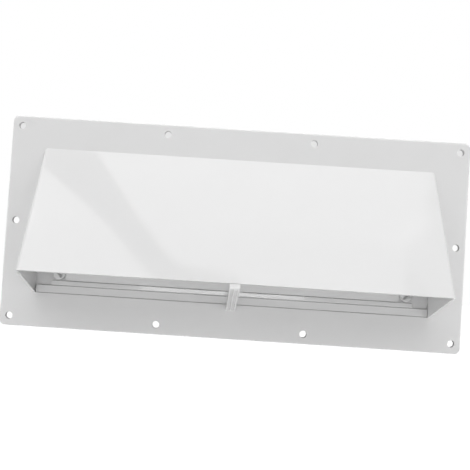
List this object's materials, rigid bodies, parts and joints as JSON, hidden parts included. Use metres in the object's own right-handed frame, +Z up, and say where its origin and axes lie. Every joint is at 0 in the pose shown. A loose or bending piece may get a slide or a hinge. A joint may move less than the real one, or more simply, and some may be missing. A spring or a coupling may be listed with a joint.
{
  "type": "exhaust vent cover",
  "caption": "Wall cover for a kitchen exhaust duct: screwed flange with a sloping rain hood, rear duct collar and a free-swinging damper flap with turn tabs.",
  "frame": {"origin": "on the duct's axis, in the plane of the wall, which is the flange's back face", "axes": "+X to the right as seen from outside, -Y out of the wall towards the viewer, +Z up"},
  "size_m": [0.354, 0.0885, 0.1622],
  "materials": {
    "cover_plastic": "smooth gloss white, moulded",
    "damper_plastic": "smooth white, moulded, a little less glossy than the cover",
    "tab_plastic": "smooth white, moulded"
  },
  "bodies": {
    "housing": {"cover": "cover_plastic", "duct_frame": "damper_plastic"},
    "flap": {"damper_flap": "damper_plastic"},
    "left_tab": {"turn_tab_left": "tab_plastic"},
    "right_tab": {"turn_tab_right": "tab_plastic"}
  },
  "joints": [
    {"name": "flap_hinge", "type": "hinge", "parent": "housing", "child": "flap", "pos_m": [0, -0.0032, 0.0435], "axis": [-1, 0, 0], "range_deg": [0, 28]},
    {"name": "left_tab_turn", "type": "hinge", "parent": "housing", "child": "left_tab", "pos_m": [-0.133, -0.004, -0.0392], "axis": [0, 1, 0], "range_deg": [0, 90]},
    {"name": "right_tab_turn", "type": "hinge", "parent": "housing", "child": "right_tab", "pos_m": [0.133, -0.004, -0.0392], "axis": [0, -1, 0], "range_deg": [0, 90]}
  ]
}
